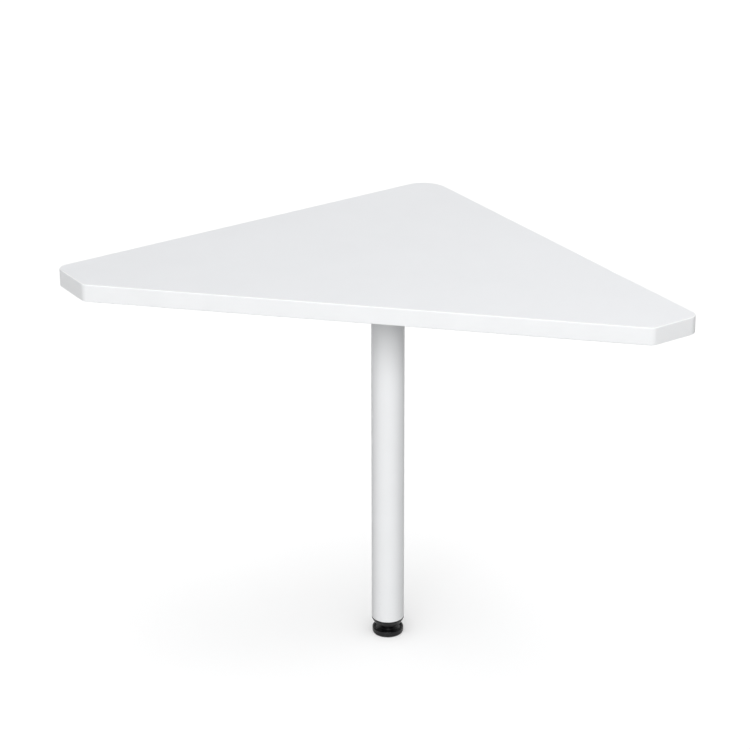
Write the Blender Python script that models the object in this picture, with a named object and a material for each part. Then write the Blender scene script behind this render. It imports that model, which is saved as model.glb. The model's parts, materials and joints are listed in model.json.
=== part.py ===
"""Corner table that joins two desks: a right-angled triangular top on one round leg with a levelling foot.

Metres, +Z up. The origin is on the floor under the leg's axis, +X runs along the long front edge
and +Y points to the rounded rear corner.
"""
import math

import bmesh
import bpy
from mathutils import Vector

# Fits and mesh fineness
GAP = 0.0003
OVERRUN = 0.002
WELD_DISTANCE = 0.000001
FINE_SEGMENTS = 72
MEDIUM_SEGMENTS = 48
SMALL_SEGMENTS = 24
FILLET_STEPS = 4
SHARP_ANGLE = math.radians(35.0)

# Top: two equal sides that meet at the rear, with the tips cut square to them.
# The leg's setback from the front edge puts its axis under the table's centre of mass.
TOP_HEIGHT = 0.750
BOARD_THICKNESS = 0.032
SIDE_LENGTH = 0.900
TIP_CUT = 0.100
REAR_RADIUS = 0.050
TIP_FRONT_RADIUS = 0.015
TIP_SIDE_RADIUS = 0.020
REAR_ARC_STEPS = 18
TIP_ARC_STEPS = 8
LEG_SETBACK = 0.219

# Edge band, with its one butt joint on the left side near the rear corner
BAND_THICKNESS = 0.002
BAND_ARRIS = 0.0015
BAND_JOINT_DISTANCE = 0.160

# Leg tube
TUBE_DIAMETER = 0.060
TUBE_WALL = 0.0015
TUBE_EDGE = 0.0004
TUBE_END_HEIGHT = 0.033
KEY_HOLE_DIAMETER = 0.006

# Mounting flange, its hub in the tube and the slot for the clamp shoe
FLANGE_DIAMETER = 0.110
FLANGE_THICKNESS = 0.005
FLANGE_CHAMFER = 0.001
FLANGE_SCREW_CIRCLE = 0.088
FLANGE_SCREW_COUNT = 5
HUB_HEIGHT = 0.026
HUB_PLAY = 0.0005
HUB_CHAMFER = 0.001
SHOE_SLOT_WIDTH = 0.018
SHOE_SLOT_DEPTH = 0.010

# Clamp screw: a long grub screw across the hub
CLAMP_SCREW_DIAMETER = 0.008
CLAMP_SCREW_LENGTH = 0.036
CLAMP_SCREW_CHAMFER = 0.0008
CLAMP_SOCKET_WIDTH = 0.004
CLAMP_SOCKET_DEPTH = 0.005

# Chipboard screws of the flange and of the joining plates
SCREW_LENGTH = 0.025
SCREW_SHANK_DIAMETER = 0.0044
SCREW_POINT_LENGTH = 0.005
SCREW_HOLE_DIAMETER = 0.0056
SUNK_HEAD_DIAMETER = 0.0096
SUNK_HEAD_LAND = 0.0004
SUNK_HEAD_RECESS = 0.0002
PAN_HEAD_DIAMETER = 0.0095
PAN_HEAD_HEIGHT = 0.003
PAN_HEAD_FILLET = 0.0012
CROSS_REACH = 0.0024
CROSS_HALF_WIDTH = 0.0006
CROSS_DEPTH = 0.0022
CROSS_FLOOR_SHARE = 0.6

# Moulded insert in the tube's lower end
INSERT_DEPTH = 0.030
INSERT_WALL = 0.004
INSERT_LEAD_IN = 0.002
INSERT_RIM_INSET = 0.0001
INSERT_RIM_LAND = 0.0025
INSERT_RIM_HEIGHT = 0.012
INSERT_RIM_TAPER = 0.0043
INSERT_RIM_FILLET = 0.001
INSERT_FLOOR = 0.005
INSERT_BOSS_WALL = 0.0025
INSERT_BORE_PLAY = 0.0005

# Nut trapped in the insert
NUT_WIDTH = 0.017
NUT_HEIGHT = 0.008
NUT_CHAMFER = 0.0009

# Levelling stud
STUD_DIAMETER = 0.010
STUD_THREAD_LENGTH = 0.045
STUD_CHAMFER = 0.001
COLLAR_WIDTH = 0.017
COLLAR_CHAMFER = 0.0009
STUD_HEAD_DIAMETER = 0.016
STUD_HEAD_CHAMFER = 0.0006
STUD_WAIST_DIAMETER = 0.011

# Moulded foot and the pad glued under it
PAD_THICKNESS = 0.002
PAD_DIAMETER = 0.0548
PAD_CHAMFER = 0.0004
FOOT_DIAMETER = 0.0576
FOOT_RIM_HEIGHT = 0.0087
FOOT_RIM_FILLET = 0.0012
FOOT_RIM_LAND = 0.0012
FOOT_LOWER_CHAMFER = 0.0008
FOOT_DISH_DEPTH = 0.0027
FOOT_DISH_SLOPE = 0.0035
FOOT_FLOOR = 0.002
FOOT_BOSS_DIAMETER = 0.025
FOOT_BOSS_HEIGHT = 0.0125
FOOT_BOSS_CHAMFER = 0.0008
FOOT_BOSS_FLARE = 0.0015
FOOT_LIP = 0.003

# Joining plates, each parked along a side and swung out about its screw
PLATE_LENGTH = 0.160
PLATE_WIDTH = 0.040
PLATE_THICKNESS = 0.003
PLATE_CORNER_RADIUS = 0.004
PLATE_CORNER_STEPS = 4
PLATE_END_DISTANCE = 0.020
PLATE_HOLE_COUNT = 4
PLATE_INBOARD = 0.060
PLATE_FRONT_DISTANCE = 0.150
PLATE_FACING_GAP = 0.070
WASHER_DIAMETER = 0.012
WASHER_THICKNESS = 0.001

# Sizes that follow from the ones above
REAR_REACH = SIDE_LENGTH / math.sqrt(2.0)
FRONT_Y = -LEG_SETBACK
REAR_Y = REAR_REACH - LEG_SETBACK
FRONT_HALF = REAR_REACH - TIP_CUT * math.sqrt(2.0)
TIP_X = REAR_REACH - TIP_CUT / math.sqrt(2.0)
TIP_Y = FRONT_Y + TIP_CUT / math.sqrt(2.0)
BOARD_UNDERSIDE = TOP_HEIGHT - BOARD_THICKNESS
FLANGE_TOP = BOARD_UNDERSIDE - GAP
FLANGE_UNDERSIDE = FLANGE_TOP - FLANGE_THICKNESS
TUBE_TOP = FLANGE_UNDERSIDE - GAP
TUBE_LENGTH = TUBE_TOP - TUBE_END_HEIGHT
TUBE_RADIUS = TUBE_DIAMETER / 2.0
TUBE_BORE_RADIUS = TUBE_RADIUS - TUBE_WALL
HUB_RADIUS = TUBE_BORE_RADIUS - HUB_PLAY
CLAMP_HEIGHT = FLANGE_UNDERSIDE - HUB_HEIGHT / 2.0
SHOE_BACK = HUB_RADIUS - SHOE_SLOT_DEPTH
SCREW_SHANK_RADIUS = SCREW_SHANK_DIAMETER / 2.0
SUNK_HEAD_RADIUS = SUNK_HEAD_DIAMETER / 2.0
SUNK_HEAD_HEIGHT = SUNK_HEAD_LAND + SUNK_HEAD_RADIUS - SCREW_SHANK_RADIUS
FLANGE_SCREW_HEIGHT = FLANGE_UNDERSIDE + SUNK_HEAD_RECESS
PLATE_TOP = BOARD_UNDERSIDE - GAP
PLATE_HOLE_SPACING = (PLATE_LENGTH - 2.0 * PLATE_END_DISTANCE) / (PLATE_HOLE_COUNT - 1)
WASHER_TOP = PLATE_TOP - PLATE_THICKNESS - GAP
PLATE_SCREW_HEIGHT = WASHER_TOP - WASHER_THICKNESS - GAP - PAN_HEAD_HEIGHT
STUD_RADIUS = STUD_DIAMETER / 2.0
INSERT_RADIUS = TUBE_BORE_RADIUS - GAP
INSERT_RIM_RADIUS = TUBE_RADIUS - INSERT_RIM_INSET
INSERT_UNDERSIDE = TUBE_END_HEIGHT - INSERT_RIM_HEIGHT
NUT_SEAT = INSERT_UNDERSIDE + INSERT_FLOOR + GAP
FOOT_UNDERSIDE = PAD_THICKNESS + GAP
FOOT_RADIUS = FOOT_DIAMETER / 2.0
STUD_SEAT = FOOT_UNDERSIDE + FOOT_FLOOR + GAP
STUD_HEAD_HEIGHT = FOOT_BOSS_HEIGHT - FOOT_LIP - FOOT_FLOOR - 2.0 * GAP
COLLAR_BOTTOM = FOOT_UNDERSIDE + FOOT_BOSS_HEIGHT + GAP
COLLAR_TOP = INSERT_UNDERSIDE - GAP


def clear_scene():
    """Remove every object that the new file starts with."""
    for item in list(bpy.data.objects):
        bpy.data.objects.remove(item, do_unlink=True)


def surface(name, colour, roughness, metallic=0.0):
    """A material with one plain Principled BSDF."""
    finish = bpy.data.materials.new(name)
    finish.use_nodes = True
    shader = finish.node_tree.nodes["Principled BSDF"]
    shader.inputs["Base Color"].default_value = (*colour, 1.0)
    shader.inputs["Roughness"].default_value = roughness
    shader.inputs["Metallic"].default_value = metallic
    finish.diffuse_color = (*colour, 1.0)
    return finish


def mesh_from(shape, name):
    """Turn a bmesh into a closed mesh with outward faces, smooth where its faces meet gently."""
    bmesh.ops.remove_doubles(shape, verts=shape.verts, dist=WELD_DISTANCE)
    bmesh.ops.recalc_face_normals(shape, faces=shape.faces)
    mesh = bpy.data.meshes.new(name)
    shape.to_mesh(mesh)
    shape.free()
    mesh.shade_smooth()
    mesh.set_sharp_from_angle(angle=SHARP_ANGLE)
    return mesh


def turned_bmesh(profile, segments, closed=True):
    """A solid turned about Z from (radius, height) points; an open profile starts and ends on the axis."""
    shape = bmesh.new()
    corners = [shape.verts.new((radius, 0.0, height)) for radius, height in profile]
    edges = [shape.edges.new(pair) for pair in zip(corners, corners[1:])]
    if closed:
        edges.append(shape.edges.new((corners[-1], corners[0])))
    bmesh.ops.spin(
        shape,
        geom=corners + edges,
        cent=(0.0, 0.0, 0.0),
        axis=(0.0, 0.0, 1.0),
        dvec=(0.0, 0.0, 0.0),
        angle=math.tau,
        steps=segments,
        use_merge=True,
    )
    return shape


def turned(name, profile, segments, closed=True):
    """The mesh of a turned solid."""
    return mesh_from(turned_bmesh(profile, segments, closed), name)


def cylinder(name, radius, bottom, top, segments):
    """A plain cylinder on the Z axis."""
    return turned(name, [(0.0, bottom), (radius, bottom), (radius, top), (0.0, top)], segments, closed=False)


def prism(name, outline, bottom, top, top_share=1.0):
    """An outline of (x, y) points drawn up along Z, with its top scaled about the axis by a share."""
    shape = bmesh.new()
    base = shape.faces.new([shape.verts.new((x, y, bottom)) for x, y in outline])
    drawn = bmesh.ops.extrude_face_region(shape, geom=[base])
    lifted = [item for item in drawn["geom"] if isinstance(item, bmesh.types.BMVert)]
    bmesh.ops.translate(shape, vec=(0.0, 0.0, top - bottom), verts=lifted)
    bmesh.ops.scale(shape, vec=(top_share, top_share, 1.0), verts=lifted)
    return mesh_from(shape, name)


def box(name, low, high):
    """A box between two opposite corners."""
    outline = [(low[0], low[1]), (high[0], low[1]), (high[0], high[1]), (low[0], high[1])]
    return prism(name, outline, low[2], high[2])


def hexagon(width):
    """The corners of a hexagon, from its width across flats."""
    radius = width / 2.0 / math.cos(math.pi / 6.0)
    turns = [corner * math.pi / 3.0 for corner in range(6)]
    return [(radius * math.cos(turn), radius * math.sin(turn)) for turn in turns]


def arc(centre, radius, start, end, steps):
    """Points on an arc about a centre, both ends included."""
    turns = [start + (end - start) * step / steps for step in range(steps + 1)]
    return [(centre[0] + radius * math.cos(turn), centre[1] + radius * math.sin(turn)) for turn in turns]


def add(name, mesh, finish=None, location=(0.0, 0.0, 0.0), parent=None):
    """Put a mesh into the scene as an object."""
    piece = bpy.data.objects.new(name, mesh)
    bpy.context.scene.collection.objects.link(piece)
    piece.location = location
    piece.parent = parent
    if finish is not None:
        mesh.materials.clear()
        mesh.materials.append(finish)
    return piece


def change(piece, tool, operation="DIFFERENCE"):
    """Cut a piece with a hidden tool, or keep only what the tool covers."""
    tool.hide_render = True
    tool.display_type = "WIRE"
    modifier = piece.modifiers.new(tool.name, "BOOLEAN")
    modifier.operation = operation
    modifier.solver = "EXACT"
    modifier.object = tool


def settle(piece):
    """Keep the piece as its cuts leave it, with its creases marked afresh; the tools go."""
    graph = bpy.context.evaluated_depsgraph_get()
    mesh = bpy.data.meshes.new_from_object(piece.evaluated_get(graph))
    mesh.shade_smooth()
    mesh.set_sharp_from_angle(angle=SHARP_ANGLE)
    tools = [modifier.object for modifier in piece.modifiers]
    piece.modifiers.clear()
    piece.data = mesh
    for tool in tools:
        bpy.data.objects.remove(tool, do_unlink=True)
    return piece


def shared_mesh(blank):
    """The settled mesh of a blank, for copies; the blank itself goes."""
    mesh = settle(blank).data
    bpy.data.objects.remove(blank, do_unlink=True)
    return mesh


def bores(name, places, profile, segments=SMALL_SEGMENTS):
    """One tool with a turned solid at each (x, y, z) place."""
    shape = bmesh.new()
    for place in places:
        one = turned_bmesh(profile, segments, closed=False)
        bmesh.ops.translate(one, vec=place, verts=one.verts)
        one_mesh = mesh_from(one, name)
        shape.from_mesh(one_mesh)
        bpy.data.meshes.remove(one_mesh)
    return add(name, mesh_from(shape, name))


# The top's corners, anticlockwise from the left side's front end: place, radius and arc steps
TOP_CORNERS = (
    ((-TIP_X, TIP_Y), TIP_SIDE_RADIUS, TIP_ARC_STEPS),
    ((-FRONT_HALF, FRONT_Y), TIP_FRONT_RADIUS, TIP_ARC_STEPS),
    ((FRONT_HALF, FRONT_Y), TIP_FRONT_RADIUS, TIP_ARC_STEPS),
    ((TIP_X, TIP_Y), TIP_SIDE_RADIUS, TIP_ARC_STEPS),
    ((0.0, REAR_Y), REAR_RADIUS, REAR_ARC_STEPS),
)


def top_outline(inset):
    """The top's rounded outline, moved inwards by an inset."""
    points = []
    for index, (corner, radius, steps) in enumerate(TOP_CORNERS):
        corner = Vector(corner)
        arriving = (corner - Vector(TOP_CORNERS[index - 1][0])).normalized()
        leaving = (Vector(TOP_CORNERS[(index + 1) % len(TOP_CORNERS)][0]) - corner).normalized()
        heading = math.atan2(arriving.y, arriving.x)
        turn = (math.atan2(leaving.y, leaving.x) - heading) % math.tau
        inwards = Vector((-arriving.y, arriving.x))
        centre = corner - arriving * radius * math.tan(turn / 2.0) + inwards * radius
        start = heading - math.pi / 2.0
        points.extend(arc(centre, radius - inset, start, start + turn, steps))
    return points


def band_path(inset):
    """The band's run round the top, open at its butt joint on the left side."""
    rear = Vector((0.0, REAR_Y))
    along = (Vector((-TIP_X, TIP_Y)) - rear).normalized()
    inwards = Vector((-along.y, along.x))
    joint = rear + along * BAND_JOINT_DISTANCE + inwards * inset
    start = joint + along * GAP / 2.0
    end = joint - along * GAP / 2.0
    return [tuple(start)] + top_outline(inset) + [tuple(end)]


def band_profile():
    """The band's section as (inset, height) points, square inside and rounded outside."""
    quarter = math.pi / 2.0
    lower = arc((BAND_ARRIS, BAND_ARRIS), BAND_ARRIS, 3.0 * quarter, 2.0 * quarter, FILLET_STEPS)
    upper = arc((BAND_ARRIS, BOARD_THICKNESS - BAND_ARRIS), BAND_ARRIS, 2.0 * quarter, quarter, FILLET_STEPS)
    return [(BAND_THICKNESS, 0.0)] + lower + upper + [(BAND_THICKNESS, BOARD_THICKNESS)]


def make_edge_band(finish):
    """The band: its section swept round the top, with a flat face at each end of the strip."""
    shape = bmesh.new()
    runs = []
    for inset, height in band_profile():
        runs.append([shape.verts.new((x, y, height)) for x, y in band_path(inset)])
    for index, run in enumerate(runs):
        previous = runs[index - 1]
        for step in range(len(run) - 1):
            shape.faces.new((previous[step], previous[step + 1], run[step + 1], run[step]))
    shape.faces.new([run[0] for run in runs])
    shape.faces.new([run[-1] for run in runs])
    add("edge_band", mesh_from(shape, "edge_band"), finish, (0.0, 0.0, BOARD_UNDERSIDE))


def side_place(side, along, inboard):
    """A place under the top: along a side from the rear corner, and inboard from that side's edge."""
    x = side * (along - inboard) / math.sqrt(2.0)
    y = REAR_Y - (along + inboard) / math.sqrt(2.0)
    return (x, y)


def plate_places():
    """Side, pivot place and parked direction of each joining plate, anticlockwise from the right front."""
    front = SIDE_LENGTH - TIP_CUT - PLATE_FRONT_DISTANCE
    rear = front - 2.0 * (PLATE_LENGTH - PLATE_END_DISTANCE) - PLATE_FACING_GAP
    places = []
    for side, along, heading in (
        (1.0, front, 0.75 * math.pi),
        (1.0, rear, -0.25 * math.pi),
        (-1.0, rear, -0.75 * math.pi),
        (-1.0, front, 0.25 * math.pi),
    ):
        places.append((side_place(side, along, PLATE_INBOARD), heading))
    return places


def flange_screw_places():
    """The flange's screw holes, evenly spaced, the first at the rear."""
    radius = FLANGE_SCREW_CIRCLE / 2.0
    turns = [math.pi / 2.0 + math.tau * index / FLANGE_SCREW_COUNT for index in range(FLANGE_SCREW_COUNT)]
    return [(radius * math.cos(turn), radius * math.sin(turn)) for turn in turns]


def pilot_profile(tip_height):
    """A blind pilot hole up into the board, from below its underside to past a screw's tip."""
    radius = SCREW_SHANK_RADIUS + GAP
    return [(0.0, -OVERRUN), (radius, -OVERRUN), (radius, tip_height + GAP), (0.0, tip_height + GAP)]


def make_board(finish):
    """The coated chipboard, with blind pilot holes for every screw."""
    mesh = prism("desktop_board", top_outline(BAND_THICKNESS + GAP), 0.0, BOARD_THICKNESS)
    board = add("desktop_board", mesh, finish, (0.0, 0.0, BOARD_UNDERSIDE))
    flange_reach = FLANGE_SCREW_HEIGHT + SCREW_LENGTH - BOARD_UNDERSIDE
    flange_holes = [(x, y, BOARD_UNDERSIDE) for x, y in flange_screw_places()]
    change(board, bores("flange_pilot_tool", flange_holes, pilot_profile(flange_reach)))
    plate_reach = PLATE_SCREW_HEIGHT + PAN_HEAD_HEIGHT + SCREW_LENGTH - BOARD_UNDERSIDE
    plate_holes = [(x, y, BOARD_UNDERSIDE) for (x, y), heading in plate_places()]
    change(board, bores("plate_pilot_tool", plate_holes, pilot_profile(plate_reach)))
    settle(board)


def sunk_hole_profile():
    """The flange's countersunk hole, drawn upwards from below the flange."""
    head = SUNK_HEAD_RADIUS + GAP
    hole = SCREW_HOLE_DIAMETER / 2.0
    land = SUNK_HEAD_RECESS + SUNK_HEAD_LAND
    top = FLANGE_THICKNESS + OVERRUN
    return [
        (0.0, -OVERRUN),
        (head, -OVERRUN),
        (head, land),
        (hole, land + head - hole),
        (hole, top),
        (0.0, top),
    ]


def make_flange(finish):
    """The die-cast flange: a round plate with a hub that enters the tube."""
    plate = FLANGE_DIAMETER / 2.0
    hub_end = -FLANGE_THICKNESS - HUB_HEIGHT
    profile = [
        (0.0, 0.0),
        (plate, 0.0),
        (plate, FLANGE_CHAMFER - FLANGE_THICKNESS),
        (plate - FLANGE_CHAMFER, -FLANGE_THICKNESS),
        (HUB_RADIUS, -FLANGE_THICKNESS),
        (HUB_RADIUS, hub_end + HUB_CHAMFER),
        (HUB_RADIUS - HUB_CHAMFER, hub_end),
        (0.0, hub_end),
    ]
    mesh = turned("leg_flange", profile, FINE_SEGMENTS, closed=False)
    flange = add("leg_flange", mesh, finish, (0.0, 0.0, FLANGE_TOP))
    holes = [(x, y, FLANGE_UNDERSIDE) for x, y in flange_screw_places()]
    change(flange, bores("flange_hole_tool", holes, sunk_hole_profile()))
    slot = SHOE_SLOT_WIDTH / 2.0
    slot_low = (-slot, -HUB_RADIUS - OVERRUN, FLANGE_UNDERSIDE - HUB_HEIGHT - OVERRUN)
    slot_high = (slot, -SHOE_BACK, FLANGE_UNDERSIDE)
    change(flange, add("shoe_slot_tool", box("shoe_slot_tool", slot_low, slot_high)))
    bore = CLAMP_SCREW_DIAMETER / 2.0 + GAP
    reach = HUB_RADIUS + OVERRUN
    tool = add("clamp_bore_tool", cylinder("clamp_bore_tool", bore, -reach, reach, SMALL_SEGMENTS))
    tool.location = (0.0, 0.0, CLAMP_HEIGHT)
    tool.rotation_euler.x = -math.pi / 2.0
    change(flange, tool)
    settle(flange)


def make_shoe(finish):
    """The clamp shoe: a block in the hub's slot with a face that follows the tube's bore."""
    height = HUB_HEIGHT - 2.0 * GAP
    half = SHOE_SLOT_WIDTH / 2.0 - GAP
    low = (-half, -TUBE_RADIUS, -height)
    shoe = add("clamp_shoe", box("clamp_shoe", low, (half, -SHOE_BACK - GAP, 0.0)), finish)
    shoe.location = (0.0, 0.0, FLANGE_UNDERSIDE - GAP)
    face = cylinder("shoe_face_tool", TUBE_BORE_RADIUS - GAP, -height - OVERRUN, OVERRUN, FINE_SEGMENTS)
    change(shoe, add("shoe_face_tool", face, None, shoe.location), "INTERSECT")
    settle(shoe)


def make_clamp_screw(finish):
    """The grub screw across the hub, its socket to the rear and its tip at the shoe."""
    radius = CLAMP_SCREW_DIAMETER / 2.0
    length = CLAMP_SCREW_LENGTH
    cut = CLAMP_SCREW_CHAMFER
    profile = [
        (0.0, 0.0),
        (radius - cut, 0.0),
        (radius, cut),
        (radius, length - cut),
        (radius - cut, length),
        (0.0, length),
    ]
    mesh = turned("clamp_screw", profile, SMALL_SEGMENTS, closed=False)
    screw = add("clamp_screw", mesh, finish, (0.0, -SHOE_BACK, CLAMP_HEIGHT))
    screw.rotation_euler.x = -math.pi / 2.0
    floor = length - CLAMP_SOCKET_DEPTH
    socket = prism("clamp_socket_tool", hexagon(CLAMP_SOCKET_WIDTH), floor, length + OVERRUN)
    tool = add("clamp_socket_tool", socket, None, screw.location)
    tool.rotation_euler.x = screw.rotation_euler.x
    change(screw, tool)
    settle(screw)


def make_tube(finish):
    """The leg tube, with a key hole for the clamp screw in its rear wall."""
    outer = TUBE_RADIUS
    bore = TUBE_BORE_RADIUS
    edge = TUBE_EDGE
    profile = [
        (bore, edge),
        (bore + edge, 0.0),
        (outer - edge, 0.0),
        (outer, edge),
        (outer, TUBE_LENGTH - edge),
        (outer - edge, TUBE_LENGTH),
        (bore + edge, TUBE_LENGTH),
        (bore, TUBE_LENGTH - edge),
    ]
    tube = add("leg_tube", turned("leg_tube", profile, FINE_SEGMENTS), finish, (0.0, 0.0, TUBE_END_HEIGHT))
    reach = TUBE_RADIUS + OVERRUN
    hole = cylinder("key_hole_tool", KEY_HOLE_DIAMETER / 2.0, HUB_RADIUS, reach, SMALL_SEGMENTS)
    tool = add("key_hole_tool", hole, None, (0.0, 0.0, CLAMP_HEIGHT))
    tool.rotation_euler.x = -math.pi / 2.0
    change(tube, tool)
    settle(tube)


def cross_tool(name, depth):
    """A tapering cross that sinks into a screw head from below, with its floor at a depth."""
    wide = CROSS_HALF_WIDTH
    reach = CROSS_REACH
    arm = [(reach, -wide), (reach, wide), (wide, wide)]
    outline = list(arm)
    for quarter in range(3):
        arm = [(-y, x) for x, y in arm]
        outline.extend(arm)
    return add(name, prism(name, outline, -OVERRUN, depth, CROSS_FLOOR_SHARE))


def screw_mesh(name, head_profile, head_top):
    """A chipboard screw pointing up, from its head's lowest face, with a cross recess."""
    shank = SCREW_SHANK_RADIUS
    tip = head_top + SCREW_LENGTH
    profile = head_profile + [(shank, head_top), (shank, tip - SCREW_POINT_LENGTH), (0.0, tip)]
    screw = add(name, turned(name, profile, SMALL_SEGMENTS, closed=False))
    change(screw, cross_tool(name + "_cross_tool", CROSS_DEPTH))
    return shared_mesh(screw)


def sunk_screw_mesh():
    """The flange's countersunk screw, whose length counts from its flat face."""
    head = [(0.0, 0.0), (SUNK_HEAD_RADIUS, 0.0), (SUNK_HEAD_RADIUS, SUNK_HEAD_LAND)]
    head.append((SCREW_SHANK_RADIUS, SUNK_HEAD_HEIGHT))
    return screw_mesh("sunk_screw", head, 0.0)


def pan_screw_mesh():
    """The joining plates' pan-head screw, whose length counts from under its head."""
    radius = PAN_HEAD_DIAMETER / 2.0
    centre = (radius - PAN_HEAD_FILLET, PAN_HEAD_FILLET)
    crown = arc(centre, PAN_HEAD_FILLET, -math.pi / 2.0, 0.0, FILLET_STEPS)
    head = [(0.0, 0.0)] + crown + [(radius, PAN_HEAD_HEIGHT)]
    return screw_mesh("pan_screw", head, PAN_HEAD_HEIGHT)


def make_flange_screws(finish):
    """The flange's screws, up through the flange into the board."""
    mesh = sunk_screw_mesh()
    for index, (x, y) in enumerate(flange_screw_places(), start=1):
        add(f"flange_screw_{index}", mesh, finish, (x, y, FLANGE_SCREW_HEIGHT))


def make_insert(finish):
    """The moulded insert: a plug in the tube, a tapered rim below it and a boss round the nut."""
    rim = INSERT_RIM_RADIUS
    low = -INSERT_RIM_HEIGHT
    fillet = INSERT_RIM_FILLET
    foot = rim - INSERT_RIM_TAPER
    bore = STUD_RADIUS + INSERT_BORE_PLAY
    hollow = INSERT_RADIUS - INSERT_WALL
    floor = low + INSERT_FLOOR
    boss = NUT_WIDTH / 2.0 / math.cos(math.pi / 6.0) + GAP + INSERT_BOSS_WALL
    boss_top = floor + NUT_HEIGHT + 2.0 * GAP
    lower_edge = arc((foot - fillet, low + fillet), fillet, -math.pi / 2.0, 0.0, FILLET_STEPS)
    profile = [(bore, low)] + lower_edge + [
        (rim, -GAP - INSERT_RIM_LAND),
        (rim, -GAP),
        (INSERT_RADIUS, -GAP),
        (INSERT_RADIUS, INSERT_DEPTH - INSERT_LEAD_IN),
        (INSERT_RADIUS - INSERT_LEAD_IN / 2.0, INSERT_DEPTH),
        (hollow, INSERT_DEPTH),
        (hollow, floor),
        (boss, floor),
        (boss, boss_top),
        (bore, boss_top),
    ]
    mesh = turned("foot_insert", profile, FINE_SEGMENTS)
    insert = add("foot_insert", mesh, finish, (0.0, 0.0, TUBE_END_HEIGHT))
    pocket = prism("nut_pocket_tool", hexagon(NUT_WIDTH + 2.0 * GAP), floor, boss_top + OVERRUN)
    change(insert, add("nut_pocket_tool", pocket, None, insert.location))
    settle(insert)


def chamfered_disc(radius, chamfer, bottom, top, bore=0.0):
    """A closed profile of a disc or ring whose outer edges are chamfered at both faces."""
    return [
        (bore, bottom),
        (radius - chamfer, bottom),
        (radius, bottom + chamfer / 2.0),
        (radius, top - chamfer / 2.0),
        (radius - chamfer, top),
        (bore, top),
    ]


def make_nut(finish):
    """The hexagon nut in the insert's pocket, its bore a plain clearance round the stud."""
    mesh = prism("insert_nut", hexagon(NUT_WIDTH), 0.0, NUT_HEIGHT)
    nut = add("insert_nut", mesh, finish, (0.0, 0.0, NUT_SEAT))
    corner = NUT_WIDTH / 2.0 / math.cos(math.pi / 6.0)
    ring = chamfered_disc(corner, NUT_CHAMFER, 0.0, NUT_HEIGHT, STUD_RADIUS + GAP)
    tool = turned("nut_round_tool", ring, MEDIUM_SEGMENTS)
    change(nut, add("nut_round_tool", tool, None, nut.location), "INTERSECT")
    settle(nut)


def make_stud(finish, parent):
    """The levelling stud: round head, waist, hexagon collar and thread, drawn up from its seat."""
    collar_bottom = COLLAR_BOTTOM - STUD_SEAT
    collar_top = COLLAR_TOP - STUD_SEAT
    head = STUD_HEAD_DIAMETER / 2.0
    edge = STUD_HEAD_CHAMFER
    waist = STUD_WAIST_DIAMETER / 2.0
    corner = COLLAR_WIDTH / 2.0 / math.cos(math.pi / 6.0)
    tip = collar_top + STUD_THREAD_LENGTH
    head_profile = chamfered_disc(head, edge, 0.0, STUD_HEAD_HEIGHT)[:-1]
    collar_profile = chamfered_disc(corner, COLLAR_CHAMFER, collar_bottom, collar_top)[1:-1]
    profile = head_profile + [(waist, STUD_HEAD_HEIGHT), (waist, collar_bottom)] + collar_profile + [
        (STUD_RADIUS, collar_top),
        (STUD_RADIUS, tip - STUD_CHAMFER),
        (STUD_RADIUS - STUD_CHAMFER, tip),
        (0.0, tip),
    ]
    mesh = turned("levelling_stud", profile, MEDIUM_SEGMENTS, closed=False)
    stud = add("levelling_stud", mesh, finish, (0.0, 0.0, STUD_SEAT), parent)
    flats = turned("collar_flats_tool", [
        (corner + OVERRUN, collar_bottom - GAP / 2.0),
        (corner + OVERRUN, collar_top + GAP / 2.0),
        (STUD_RADIUS, collar_top + GAP / 2.0),
        (STUD_RADIUS, collar_bottom - GAP / 2.0),
    ], MEDIUM_SEGMENTS)
    tool = add("collar_flats_tool", flats, None, stud.location)
    core = prism("collar_core_tool", hexagon(COLLAR_WIDTH), collar_bottom - GAP, collar_top + GAP)
    change(tool, add("collar_core_tool", core, None, stud.location))
    change(stud, settle(tool))
    settle(stud)


def make_foot_base(finish, parent):
    """The moulded foot: a dished disc with a boss whose lip holds the stud's head."""
    radius = FOOT_RADIUS
    chamfer = FOOT_LOWER_CHAMFER
    fillet = FOOT_RIM_FILLET
    rim = FOOT_RIM_HEIGHT
    dish = rim - FOOT_DISH_DEPTH
    rim_inner = radius - fillet - FOOT_RIM_LAND
    boss = FOOT_BOSS_DIAMETER / 2.0
    boss_top = FOOT_BOSS_HEIGHT
    pocket = STUD_HEAD_DIAMETER / 2.0 + GAP
    lip = STUD_WAIST_DIAMETER / 2.0 + GAP
    rim_round = arc((radius - fillet, rim - fillet), fillet, 0.0, math.pi / 2.0, FILLET_STEPS)
    profile = [(0.0, 0.0), (radius - chamfer, 0.0), (radius, chamfer)] + rim_round + [
        (rim_inner, rim),
        (rim_inner - FOOT_DISH_SLOPE, dish),
        (boss + FOOT_BOSS_FLARE, dish),
        (boss, dish + FOOT_BOSS_FLARE),
        (boss, boss_top - FOOT_BOSS_CHAMFER),
        (boss - FOOT_BOSS_CHAMFER, boss_top),
        (lip, boss_top),
        (lip, boss_top - FOOT_LIP),
        (pocket, boss_top - FOOT_LIP),
        (pocket, FOOT_FLOOR),
        (0.0, FOOT_FLOOR),
    ]
    mesh = turned("foot_base", profile, FINE_SEGMENTS, closed=False)
    add("foot_base", mesh, finish, (0.0, 0.0, FOOT_UNDERSIDE), parent)


def make_glide_pad(finish, parent):
    """The thin pad under the foot."""
    radius = PAD_DIAMETER / 2.0
    profile = [
        (0.0, 0.0),
        (radius - PAD_CHAMFER, 0.0),
        (radius, PAD_CHAMFER),
        (radius, PAD_THICKNESS),
        (0.0, PAD_THICKNESS),
    ]
    add("glide_pad", turned("glide_pad", profile, FINE_SEGMENTS, closed=False), finish, parent=parent)


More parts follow.
